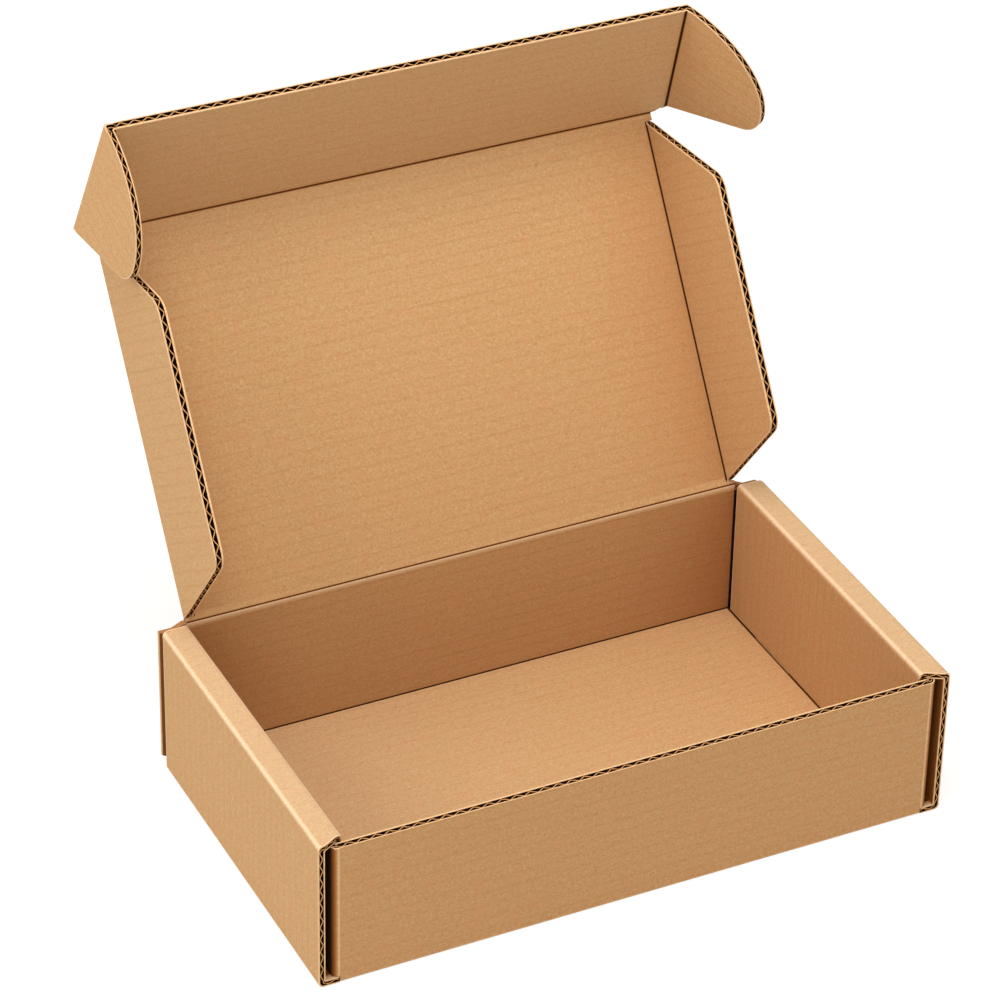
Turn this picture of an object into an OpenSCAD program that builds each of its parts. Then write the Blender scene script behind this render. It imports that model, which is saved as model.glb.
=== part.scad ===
// Folded corrugated mailing box with rolled end walls, a hinged lid, two side wings
// and a tuck flap with rounded ears. One sheet of board: the tray is its locked part,
// and each panel that swings is a body of its own, joined along a crease.

/* [Board] */
// Thickness of the corrugated board
board_t = 3; // [2:0.1:5]
// Thickness of each flat liner sheet
liner_t = 0.4; // [0.2:0.05:0.7]
// Length of one wave of the fluted middle sheet
flute_pitch = 6.4; // [4:0.1:9]
// Width of the fluted sheet, measured along a cut edge
flute_web = 0.9; // [0.4:0.1:1.5]
// Depth of the open flute mouths in a cut edge
mouth_depth = 3; // [1:0.5:5]

/* [Tray] */
// Outside length of the tray, end wall to end wall
tray_l = 300; // [240:1:400]
// Outside width of the tray, front wall to back wall
tray_w = 176; // [140:1:260]
// Height of the rolled end walls
tray_h = 74; // [60:1:110]
// Slot in each end wall that takes an ear of the tuck flap
ear_slot = 3.4; // [3.2:0.1:6]
// Length of the corner flaps folded into the end walls
corner_flap_l = 58; // [30:1:66]
// Distance of each end wall's back edge from the back face
end_wall_back = 7; // [6:0.5:12]
// Distance of the inner boards from the front wall
inner_setback = 2.5; // [1:0.5:8]
// Length of each locking tab under the inner boards
tab_l = 32; // [20:1:45]
// Distance between the middles of the two tabs of one board
tab_spacing = 84; // [60:1:100]
// Drop of the back wall's top beside the lid
shoulder_drop = 5; // [2:0.5:12]

/* [Lid] */
// Opening of the lid from shut, in degrees
lid_open = 123; // [60:1:150]
// Distance of the wings' free edges from the bottom when the box is shut
wing_floor_gap = 7.4; // [2:0.2:20]
// Slant of a wing's end next to the tuck flap
wing_front_slant = 33; // [28:1:45]
// Slant of a wing's end next to the hinge
wing_back_slant = 22; // [10:1:30]
// Radius of the wings' corners
wing_corner_r = 9; // [3:0.5:16]
// Fold of the wings, in degrees from flat
wing_fold = 90; // [60:1:92]

/* [Tuck flap] */
// Fold of the tuck flap, in degrees from flat
tuck_fold = 56; // [20:1:80]
// Distance of the tuck flap's free edge from the floor when the box is shut
tuck_floor_gap = 1.3; // [0.5:0.1:6]
// Taper of the tuck flap's sides towards its free edge, in degrees
tuck_taper = 5; // [0:0.5:7]
// Reach of the ears beyond their crease
ear_reach = 50; // [30:1:54]
// Radius of the ears' lower corner
ear_corner_r = 14; // [8:0.5:18]
// Slant of the ears' lower edge, in degrees
ear_slant = 24; // [18:1:32]
// Fold of the left ear, in degrees from flat
left_ear_fold = 92; // [40:1:94]
// Fold of the right ear, in degrees from flat
right_ear_fold = 62; // [40:1:94]

/* [Clearances] */
// Gap between a crease's rounded edge and the panel that turns about it
crease_gap = 0.3; // [0.2:0.05:0.5]
// Gap between boards that lie side by side
layer_gap = 0.3; // [0.2:0.05:0.6]
// Gap between a folded wing and the inner board beside it
wing_gap = 0.4; // [0.3:0.05:1]
// Gap between the shut lid and the front wall that it lies on
seat_gap = 0.3; // [0.2:0.05:1]
// Gap between the tuck flap and the front wall when the box is shut
tuck_gap = 0.5; // [0.3:0.1:1.5]

/* [Hidden] */
$fn = 48;

// Overrun of every cut past the surface that it opens
overrun = 0.6;
// Inset of the back wall's ends from the end walls' outer faces
back_inset = 0.4;
// Distance of the wings' ends from the lid's crease and from the tuck flap's
wing_root_gap = 3;
wing_front_gap = 5;
// Distance of an ear's lower edge from the tuck flap's crease
ear_root_gap = 2.6;
// Smallest drop of the front wall below the end walls, past one board
front_drop = 0.4;
// Radius of the hollow beside the lid's crease
shoulder_r = 2;
// Points on a rounded corner and on an ear's long curve
corner_steps = 8;
curve_steps = 28;

half_t = board_t / 2;
flute_h = board_t - 2 * liner_t;
mouth_h = flute_h * (1 - flute_web / flute_pitch);
relief_r = half_t + crease_gap;

x_out = tray_l / 2;
y_front = -tray_w / 2;
y_back = tray_w / 2;
flap_in = board_t + ear_slot;
wall_t = flap_in + board_t + layer_gap + board_t;
front_h = tray_h - board_t - front_drop;
x_front = x_out - flap_in;
x_back = x_out - back_inset;
y_end = y_back - end_wall_back;
y_inner_front = y_front + board_t + inner_setback;
y_inner_back = y_back - board_t - layer_gap;

hinge_y = y_back - half_t;
hinge_z = front_h + seat_gap + half_t;
lid_d = tray_w + tuck_gap;
wing_x = x_out - wall_t - wing_gap - half_t;
wing_l = lid_d - wing_front_gap;
wing_w = hinge_z - board_t - wing_floor_gap;
ear_x = x_out - board_t - ear_slot / 2;
tuck_h = hinge_z - tuck_floor_gap;
tuck_end_x = ear_x - tuck_h * tan(tuck_taper);
ear_l = tuck_h / cos(tuck_taper);

// A block between two corners
module block(low, high) {
  translate(low)
    cube(high - low);
}

// A quarter of a round fold, from the fold's inner corner towards -x and -y
module fold_2d() {
  intersection() {
    circle(r = board_t);
    translate([-board_t, -board_t])
      square(board_t);
  }
}

// One open flute: a triangle that stands on a liner
module mouth_2d() {
  base = (flute_pitch - flute_web) / 2;
  foot = liner_t - half_t;
  polygon([[-base, foot], [base, foot], [0, foot + mouth_h]]);
}

// Both rows of open flutes along an edge of the given length
module mouth_row_2d(len) {
  count = floor(len / flute_pitch);
  start = (len - count * flute_pitch) / 2;
  for (i = [0:count - 1])
    translate([start + (i + 1 / 2) * flute_pitch, 0])
      mouth_2d();
  for (i = [1:count - 1])
    translate([start + i * flute_pitch, 0])
      mirror([0, 1])
        mouth_2d();
}

// Cuts flute mouths into an edge along +x that faces +y
module mouth_row(len) {
  translate([0, overrun, 0])
    rotate([90, 0, 0])
      linear_extrude(height = mouth_depth + overrun)
        mouth_row_2d(len);
}

// Cuts flute mouths into a straight edge between two points of an outline, keeping
// clear of its ends; the board lies to the left of the edge
module edge_mouths(from, to, clear_from, clear_to) {
  run = to - from;
  translate([from[0], from[1], 0])
    rotate([0, 0, atan2(run[1], run[0])])
      mirror([0, 1, 0])
        translate([clear_from, 0, 0])
          mouth_row(norm(run) - clear_from - clear_to);
}

// One flute mouth at a point of an outline, facing the given direction
module mouth_at(point, facing, flipped) {
  translate([point[0], point[1], 0])
    rotate([0, 0, facing - 90])
      translate([0, overrun, 0])
        rotate([90, 0, 0])
          linear_extrude(height = mouth_depth + overrun)
            mirror([0, flipped ? 1 : 0])
              mouth_2d();
}

function unit(v) = v / norm(v);

// Distance from a corner to where its rounding starts
function corner_run(a, b, c, r) = r / tan(acos(unit(a - b) * unit(c - b)) / 2);

// The points of a rounded corner b between a and c
function corner_points(a, b, c, r) =
  let (
    u = unit(a - b),
    v = unit(c - b),
    half = acos(u * v) / 2,
    centre = b + unit(u + v) * r / sin(half),
    p = b + u * r / tan(half) - centre,
    turn = (u[0] * v[1] - u[1] * v[0] > 0 ? -1 : 1) * (180 - 2 * half),
    start = atan2(p[1], p[0])
  )
  [for (i = [0:corner_steps])
    centre + r * [cos(start + turn * i / corner_steps), sin(start + turn * i / corner_steps)]];

// Removes the room that a parent's rounded edge takes along +y, so that the panel
// beyond it can fold towards +z
module fold_relief(len) {
  translate([0, -overrun, 0])
    rotate([-90, 0, 0])
      cylinder(r = relief_r, h = len + 2 * overrun);
  block([-overrun, -overrun, 0], [relief_r, len + overrun, half_t + overrun]);
}

// The rounded edge of a panel along +y
module bead(len) {
  rotate([-90, 0, 0])
    cylinder(r = half_t, h = len);
}

// Puts a part of the right side on one side of the box
module on_side(side) {
  mirror([side < 0 ? 1 : 0, 0, 0])
    children();
}

// Moves a panel from the lid's own frame: x to the right, y along the lid from its
// crease, z towards the inside
module at_lid() {
  translate([0, hinge_y, hinge_z])
    rotate([180 - lid_open, 0, 0])
      children();
}

module at_tuck() {
  at_lid()
    translate([0, lid_d, 0])
      rotate([tuck_fold, 0, 0])
        children();
}

// Bottom panel with the folds up to all four walls
module tray_bottom() {
  block([board_t - x_out, y_front + board_t, 0], [x_out - board_t, y_back - board_t, board_t]);
  front_run = x_front - board_t;
  translate([-front_run, y_front + board_t, board_t])
    rotate([90, 0, 90])
      linear_extrude(height = 2 * front_run)
        fold_2d();
  translate([x_back - board_t, y_back - board_t, board_t])
    rotate([90, 0, -90])
      linear_extrude(height = 2 * (x_back - board_t))
        fold_2d();
  for (side = [-1, 1])
    on_side(side) {
      block([front_run, y_front, 0], [x_out - board_t, y_front + board_t, board_t]);
      translate([x_out - board_t, y_end, board_t])
        rotate([90, 0, 0])
          linear_extrude(height = y_end - y_front)
            mirror([1, 0])
              fold_2d();
    }
}

// Front wall with its raw, fluted top edge
module tray_front() {
  run = x_front - board_t;
  difference() {
    block([-run, y_front, board_t], [run, y_front + board_t, front_h]);
    translate([-run, y_front + half_t, front_h])
      rotate([90, 0, 0])
        mouth_row(2 * run);
  }
}

// Back wall with the rounded edge that carries the lid
module tray_back() {
  shoulder_z = hinge_z - shoulder_drop;
  run = x_back - board_t;
  hinge_run = wing_x + half_t;
  block([-run, y_back - board_t, board_t], [run, y_back, shoulder_z]);
  block([-hinge_run, y_back - board_t, shoulder_z], [hinge_run, y_back, hinge_z]);
  translate([-hinge_run, hinge_y, hinge_z])
    rotate([0, 0, -90])
      bead(2 * hinge_run);
  for (side = [-1, 1])
    on_side(side)
      difference() {
        block(
          [hinge_run, y_back - board_t, shoulder_z],
          [hinge_run + shoulder_r, y_back, shoulder_z + shoulder_r]
        );
        translate([hinge_run + shoulder_r, y_back + overrun, shoulder_z + shoulder_r])
          rotate([90, 0, 0])
            cylinder(r = shoulder_r, h = board_t + 2 * overrun);
      }
}

// Rolled end wall of the right side: outer board, top strip and inner board
module tray_end() {
  inner_x = x_out - wall_t;
  difference() {
    translate([0, y_end, 0])
      rotate([90, 0, 0])
        linear_extrude(height = y_end - y_front)
          end_section_2d();
    translate([0, 0, tray_h - board_t - overrun])
      linear_extrude(height = board_t + 2 * overrun)
        polygon([
          [x_out - board_t, y_front - overrun],
          [inner_x - overrun, y_front - overrun],
          [inner_x - overrun, y_inner_front],
          [inner_x, y_inner_front],
          [x_out - board_t, y_front]
        ]);
    translate([x_out - half_t, y_front, board_t])
      rotate([0, -90, 180])
        mouth_row(tray_h - 2 * board_t);
  }
  block([inner_x, y_inner_front, board_t + layer_gap], [inner_x + board_t, y_inner_back, tray_h - board_t]);
  for (place = [-1, 1])
    block(
      [inner_x, place * tab_spacing / 2 - tab_l / 2, 0],
      [inner_x + board_t, place * tab_spacing / 2 + tab_l / 2, board_t + layer_gap]
    );
}

// Section of the rolled end wall: x across, y up
module end_section_2d() {
  inner_x = x_out - wall_t;
  translate([x_out - board_t, board_t])
    square([board_t, tray_h - 2 * board_t]);
  translate([x_out - board_t, tray_h - board_t])
    rotate(180)
      fold_2d();
  translate([inner_x + board_t, tray_h - board_t])
    square([wall_t - 2 * board_t, board_t]);
  translate([inner_x + board_t, tray_h - board_t])
    mirror([0, 1])
      fold_2d();
}

// Slots in the bottom for the tabs of the right inner board
module tab_slots() {
  inner_x = x_out - wall_t;
  for (place = [-1, 1])
    block(
      [inner_x - layer_gap, place * tab_spacing / 2 - tab_l / 2 - layer_gap, -overrun],
      [inner_x + board_t + layer_gap, place * tab_spacing / 2 + tab_l / 2 + layer_gap, board_t + overrun]
    );
}

// Corner flaps of the right side, inside the rolled end wall
module corner_flaps() {
  low = board_t + layer_gap;
  high = front_h - layer_gap;
  slant = flap_in - back_inset;
  translate([0, 0, low])
    linear_extrude(height = high - low) {
      translate([x_front - board_t, y_front + board_t])
        mirror([1, 0])
          fold_2d();
      translate([x_front - board_t, y_front + board_t])
        square([board_t, corner_flap_l - board_t]);
    }
  translate([0, 0, low])
    linear_extrude(height = hinge_z - shoulder_drop - low) {
      translate([x_back - board_t, y_back - board_t])
        rotate(180)
          fold_2d();
      polygon([
        [x_back, y_back - board_t],
        [x_front, y_back - board_t - slant],
        [x_front, y_back - corner_flap_l],
        [x_front - board_t, y_back - corner_flap_l],
        [x_front - board_t, y_back - slant - board_t * (2 - sqrt(2))],
        [x_back - board_t * sqrt(2), y_back - board_t]
      ]);
    }
}

// Tray: bottom, front and back walls, rolled end walls and their corner flaps
module tray() {
  color([0.74, 0.55, 0.36]) {
    difference() {
      tray_bottom();
      for (side = [-1, 1])
        on_side(side)
          tab_slots();
    }
    tray_front();
    tray_back();
    for (side = [-1, 1])
      on_side(side) {
        tray_end();
        corner_flaps();
      }
  }
}

// Lid panel, with rounded edges where the wings and the tuck flap fold
module lid() {
  color([0.72, 0.53, 0.34])
    at_lid() {
      block([-wing_x, relief_r, -half_t], [wing_x, lid_d, half_t]);
      for (side = [-1, 1])
        translate([side * wing_x, relief_r, 0])
          bead(lid_d - relief_r);
      translate([-wing_x, lid_d, 0])
        rotate([0, 0, -90])
          bead(2 * wing_x);
      for (side = [-1, 1])
        translate([side * wing_x, lid_d, 0])
          sphere(r = half_t);
    }
}

// Side wing in its own frame: x outwards from its crease, y along the lid
module wing() {
  low = [0, wing_root_gap];
  low_out = [wing_w, wing_root_gap + wing_back_slant];
  high_out = [wing_w, wing_l - wing_front_slant];
  high = [0, wing_l];
  back_run = corner_run(low, low_out, high_out, wing_corner_r);
  front_run = corner_run(low_out, high_out, high, wing_corner_r);
  difference() {
    translate([0, 0, -half_t])
      linear_extrude(height = board_t)
        polygon(concat(
          [low],
          corner_points(low, low_out, high_out, wing_corner_r),
          corner_points(low_out, high_out, high, wing_corner_r),
          [high]
        ));
    fold_relief(lid_d);
    edge_mouths(low, low_out, 2 * relief_r, back_run);
    edge_mouths(low_out, high_out, back_run, front_run);
    edge_mouths(high_out, high, front_run, 2 * relief_r);
  }
}

module lid_wing(side) {
  color([0.70, 0.50, 0.32])
    at_lid()
      on_side(side)
        translate([wing_x, 0, 0])
          rotate([0, -wing_fold, 0])
            wing();
}

module lid_wing_left() {
  lid_wing(-1);
}

module lid_wing_right() {
  lid_wing(1);
}

// Moves a panel from an ear's own frame on the right: x outwards from its crease,
// y along the crease
module at_ear() {
  translate([ear_x, 0, 0])
    rotate([0, 0, tuck_taper])
      children();
}

// Tuck flap, with rounded side edges where the ears fold
module tuck_flap() {
  color([0.71, 0.52, 0.33])
    at_tuck()
      difference() {
        union() {
          translate([0, 0, -half_t])
            linear_extrude(height = board_t)
              polygon([[-ear_x, 0], [ear_x, 0], [tuck_end_x, tuck_h], [-tuck_end_x, tuck_h]]);
          for (side = [-1, 1])
            on_side(side)
              at_ear()
                translate([0, ear_root_gap, 0])
                  bead(ear_l - ear_root_gap);
        }
        translate([-x_out, 0, 0])
          rotate([0, 0, -90])
            mirror([1, 0, 0])
              fold_relief(tray_l);
        translate([-tuck_end_x, tuck_h, 0])
          mouth_row(2 * tuck_end_x);
        block([-x_out, tuck_h, -board_t], [x_out, tuck_h + board_t, board_t]);
      }
}

// A point of an ear's long curve, from the tip at 0 to the free edge at 90 degrees
function ear_curve(angle, centre_y) =
  [ear_reach * cos(angle), centre_y + (ear_l - centre_y) * sin(angle)];

// The direction that an ear's long curve faces at a point
function ear_facing(angle, centre_y) =
  atan2(ear_reach * sin(angle), (ear_l - centre_y) * cos(angle));

// The angle at a share of the long curve's length
function ear_angle(share, centre_y) =
  let (
    even = 90 * share,
    rise = ear_l - centre_y,
    bend = (ear_reach - rise) / (ear_reach + rise) / 2
  )
  even + bend * sin(2 * even) * 180 / PI;

// Ear in its own frame: x outwards from its crease, y along the crease
module ear() {
  centre_x = ear_reach - ear_corner_r;
  centre_y = ear_root_gap + (ear_corner_r + centre_x * sin(ear_slant)) / cos(ear_slant);
  corner_turn = 90 - ear_slant;
  corner_flutes = ceil((ear_corner_r - mouth_depth) * corner_turn * PI / 180 / flute_pitch * 2) - 1;
  mean_r = (ear_reach + ear_l - centre_y) / 2;
  curve_flutes = ceil((mean_r - mouth_depth) * PI / flute_pitch) - 2;
  tangent = [centre_x, centre_y] + ear_corner_r * [sin(ear_slant), -cos(ear_slant)];
  difference() {
    translate([0, 0, -half_t])
      linear_extrude(height = board_t)
        polygon(concat(
          [[0, ear_root_gap]],
          [for (i = [0:corner_steps])
            let (turn = corner_turn * (i / corner_steps - 1))
              [centre_x, centre_y] + ear_corner_r * [cos(turn), sin(turn)]],
          [for (i = [1:curve_steps])
            ear_curve(90 * i / curve_steps, centre_y)]
        ));
    fold_relief(ear_l);
    edge_mouths([0, ear_root_gap], tangent, 2 * relief_r, 0);
    for (i = [0:corner_flutes - 1])
      let (turn = corner_turn * ((i + 1 / 2) / corner_flutes - 1))
        mouth_at([centre_x, centre_y] + ear_corner_r * [cos(turn), sin(turn)], turn, i % 2 == 1);
    for (i = [0:curve_flutes - 1])
      let (turn = ear_angle((i + 1 / 2) / (curve_flutes + 1), centre_y))
        mouth_at(ear_curve(turn, centre_y), ear_facing(turn, centre_y), (i + corner_flutes) % 2 == 1);
  }
}

module tuck_ear(side, fold) {
  color([0.73, 0.54, 0.35])
    at_tuck()
      on_side(side)
        at_ear()
          rotate([0, -fold, 0])
            ear();
}

module tuck_ear_left() {
  tuck_ear(-1, left_ear_fold);
}

module tuck_ear_right() {
  tuck_ear(1, right_ear_fold);
}

tray();
lid();
lid_wing_left();
lid_wing_right();
tuck_flap();
tuck_ear_left();
tuck_ear_right();
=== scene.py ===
import math

import bpy
import numpy as np
from mathutils import Matrix, Vector


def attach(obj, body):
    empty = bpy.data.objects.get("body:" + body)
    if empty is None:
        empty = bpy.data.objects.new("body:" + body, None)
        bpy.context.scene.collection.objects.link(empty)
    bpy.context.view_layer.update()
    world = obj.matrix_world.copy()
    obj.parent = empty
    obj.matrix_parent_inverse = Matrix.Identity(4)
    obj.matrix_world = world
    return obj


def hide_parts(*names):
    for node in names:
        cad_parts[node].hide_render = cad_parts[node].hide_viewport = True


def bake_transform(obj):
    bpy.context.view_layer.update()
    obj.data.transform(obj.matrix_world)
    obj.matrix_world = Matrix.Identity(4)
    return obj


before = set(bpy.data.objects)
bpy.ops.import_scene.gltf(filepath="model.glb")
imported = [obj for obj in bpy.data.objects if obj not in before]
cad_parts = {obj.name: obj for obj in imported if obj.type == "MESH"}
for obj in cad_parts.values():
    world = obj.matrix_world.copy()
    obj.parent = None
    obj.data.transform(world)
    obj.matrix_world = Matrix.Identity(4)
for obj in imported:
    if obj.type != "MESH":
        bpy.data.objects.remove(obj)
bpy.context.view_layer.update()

# Sizes are in millimetres, as in the part's source
MM = 0.001
TINY = 1e-12

# Board
BOARD = 3.0                   # thickness
PUFF = 0.8                    # extra thickness of the lid, wings and tuck flap, on their inner side
EAR_PUFF = 0.2                # the same of the ears, which pass close to the wings
FRONT_FLARE = 0.6             # share by which the front wall's inner half grows towards its raw edge
LINER = 0.55                  # flat sheet
MEDIUM = 0.42                 # fluted sheet
PITCH = 6.4                   # flute wave
DEPTH = 8.0                   # how far a cut edge can be seen into
RIM = 0.7                     # width of the pale rim at a cut edge, partly wear and partly a painted highlight
MIRROR_SHIFT = 37.0           # keeps mirrored panels from having the same fibres

# Folds
FOLD_IN = 0.3                 # inner radius
FOLD_OUT = 0.9                # outer radius
ROLL_OUT = 2.2                # outer radius of the rolled end walls
SOFT_OUT = 2.9                # outer radius of the front wall's corners
REACH = 3.3                   # half width of the bending strip at a crease
DARK_FADE = 0.65              # how far a fold's painted crease shade fades on each side
PALE_FADE = 0.1               # the same of its pale ridge, partly wear and partly a painted highlight
LINE_ROWS = (0.05, DARK_FADE, 2.0)  # rows of points near the ends of a straight stretch
RIDGE_ROWS = (0.45, 0.06)     # rows beside a ridge

# Tray
GAP = 0.3
SIDE = 150.0                  # outer face of an end wall
HEIGHT = 74.0
FRONT, BACK = -88.0, 88.0
SLOT = 3.4                    # room for an ear in an end wall
ROLL = BOARD + SLOT + BOARD + GAP + BOARD  # a whole end wall
INNER_FACE = SIDE - ROLL      # inner face of an end wall
OUTER_BACK = BACK - 8.0       # back end of an end wall's outer board
STRIP_BACK = BACK - 6.6       # back end of its top strip
INNER_FRONT = FRONT + BOARD + 2.5  # ends of its inner board
INNER_BACK = BACK - BOARD - 2.0
INNER_BOARD = HEIGHT - 2 * BOARD - FOLD_IN - GAP  # height of its inner board
INNER_STEP = 0.5              # where the inner board's front end begins, below its fold
TAB, TAB_AT = 32.0, 42.0      # length and place of a locking tab
FRONT_HEIGHT = HEIGHT - BOARD - 0.4
FRONT_CORNER = SIDE - BOARD - SLOT  # outer faces of the corner flaps' folds
BACK_CORNER = SIDE - 0.4
FRONT_FLAP, BACK_FLAP = 58.0, 42.0
FRONT_HALF = FRONT_CORNER - BOARD - FOLD_IN  # half lengths between the corner folds
BACK_HALF = BACK_CORNER - FOLD_OUT - (FOLD_IN + BOARD - FOLD_OUT) * math.tan(math.radians(67.5))
BOTTOM_SIDE = SIDE - BOARD - FOLD_IN
BOTTOM_FRONT, BOTTOM_BACK = FRONT + BOARD + FOLD_IN, BACK - BOARD - FOLD_IN
HINGE_Y, HINGE_Z = BACK - BOARD / 2, FRONT_HEIGHT + 0.3 + BOARD / 2
CREASE_FOOT = HINGE_Z - REACH  # where the lid's crease takes over from the back wall
SHOULDER = HINGE_Z - 2.4      # top of the back wall's corner flaps
SHOULDER_PEAK = HINGE_Z - 0.2  # top of the back wall beside the lid's crease
SHOULDER_WIDTH = 1.5          # its width there
EVEN_SPAN = 130.0             # half length over which columns of points are even

# Lid, wings, tuck flap and ears
LID_DEPTH = BACK - FRONT + 0.5
LID_BOW = -0.7
WING_X = INNER_FACE - 0.4 - BOARD / 2
LID_HALF = WING_X + BOARD / 2
LID_FRONT_HALF = WING_X + 0.9  # beyond the wings
WING_START, WING_END = 1.4, LID_DEPTH - 5.0
WING_WIDTH = HINGE_Z - BOARD - 7.4
WING_BACK, WING_FRONT, WING_ROUND = 22.0, 33.0, 9.0  # slants and rounding of a wing's ends
TUCK_HEIGHT = HINGE_Z - 1.3
TUCK_FOOT = WING_X + 1.0      # half length of the tuck flap's crease
TAPER = math.radians(5.0)
EAR_X = SIDE - BOARD - SLOT / 2
EAR_CREASE = TUCK_HEIGHT / math.cos(TAPER)
EAR_TRIM = 0.2                # how much shorter its bending strip is
EAR_ROOT, EAR_WIDTH, EAR_ROUND = 2.6, 50.0, 14.0
EAR_SLANT = math.radians(24.0)

# Angles at rest: the lid's from shut, the others' from flat board
LID_OPEN = math.radians(123.0)
TUCK_BENT = math.radians(56.0)
WING_BENT = math.radians(90.0)
EAR_BENT = {-1: math.radians(92.0), 1: math.radians(62.0)}

# Tones of the board: pale above 0, for wear and painted light, and dark below it, for painted shade
PLAIN_EDGE = -0.3             # an edge with no flutes to see
PAINTED_SLOT_SHADE = -0.7                # painted shade on a side that faces into a wall
NEAR_SHADE = -0.4             # a side beside a slot
# painted shade: the front wall's outer side a little darker
FRONT_PAINTED_SHADE = -0.09
STRIP_PAINTED_LIGHT, INNER_PAINTED_SHADE = 0.3, -0.11  # painted light on an end wall's top strip, and painted shade on its inner board
# painted light on the tuck flap's inner side
TUCK_PAINTED_LIGHT = 0.1
LIP_PAINTED_HIGHLIGHT = (-0.09, 0.1, 1.3)       # the back wall's rounded top, from its foot to the hinge line: painted shade rising to a painted highlight

X = np.array([1.0, 0.0, 0.0])
Y = np.array([0.0, 1.0, 0.0])
Z = np.array([0.0, 0.0, 1.0])
rng = np.random.default_rng(11)

FACE, EDGE, WAVE, HOLLOW_SHADE = range(4)


def unit(v):
    return v / np.maximum(np.linalg.norm(v, axis=-1, keepdims=True), TINY)


def ahead(angle):
    return np.array([math.cos(angle), math.sin(angle)])


def left(angle):
    return np.array([-math.sin(angle), math.cos(angle)])


class Board:
    """Collects the faces of one piece of board, in millimetres."""

    def __init__(self):
        self.v, self.f, self.m, self.sheet, self.tone = [], [], [], [], []
        self.count = 0

    def grid(self, pos, out, sheet, mat, tone=0.0):
        """A grid of quads that faces out."""
        rows, cols = pos.shape[:2]
        corner, down, across = pos[:-1, :-1], pos[1:, :-1], pos[:-1, 1:]
        normal = np.cross(down - corner, across - corner)
        out = np.broadcast_to(out, pos.shape)[:-1, :-1]
        at = self.count + np.arange(rows * cols).reshape(rows, cols)
        quads = np.stack([at[:-1, :-1], at[1:, :-1], at[1:, 1:], at[:-1, 1:]], -1).reshape(-1, 4)
        if (normal * out).sum() < 0:
            quads = quads[:, ::-1]
        self.v.append(pos.reshape(-1, 3))
        self.sheet.append(np.broadcast_to(sheet, (rows, cols, 2)).reshape(-1, 2))
        self.tone.append(np.broadcast_to(np.asarray(tone, float), (rows, cols)).reshape(-1))
        self.f.append(quads)
        self.m.append(np.full(len(quads), mat))
        self.count += rows * cols

    def mirrored(self):
        other = Board()
        for v, f, m, sheet, tone in zip(self.v, self.f, self.m, self.sheet, self.tone):
            other.v.append(v * np.array([-1.0, 1.0, 1.0]))
            other.f.append(f[:, ::-1])
            other.m.append(m)
            other.sheet.append(sheet * np.array([-1.0, 1.0]) + np.array([MIRROR_SHIFT, 0.0]))
            other.tone.append(tone)
        other.count = self.count
        return other

    def add(self, other):
        for v, f, m, sheet, tone in zip(other.v, other.f, other.m, other.sheet, other.tone):
            self.v.append(v)
            self.f.append(f + self.count)
            self.m.append(m)
            self.sheet.append(sheet)
            self.tone.append(tone)
        self.count += other.count

    def build(self, name):
        """Makes the mesh. sheet is a point's place on the flat board, for the material's grain."""
        mesh = bpy.data.meshes.new(name)
        faces = np.concatenate(self.f)
        mesh.from_pydata((np.concatenate(self.v) * MM).tolist(), [], faces.tolist())
        mesh.polygons.foreach_set("material_index", np.concatenate(self.m).astype(np.int32))
        mesh.polygons.foreach_set("use_smooth", np.ones(len(faces), bool))
        sheet = np.concatenate(self.sheet)
        sheet = np.c_[sheet, np.zeros(len(sheet))]
        held = mesh.attributes.new("sheet", "FLOAT_VECTOR", "POINT")
        held.data.foreach_set("vector", sheet.astype(np.float32).ravel())
        held = mesh.attributes.new("tone", "FLOAT", "POINT")
        held.data.foreach_set("value", np.concatenate(self.tone).astype(np.float32))
        for material in MATERIALS:
            mesh.materials.append(material)
        obj = bpy.data.objects.new(name, mesh)
        bpy.context.scene.collection.objects.link(obj)
        return obj


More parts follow.
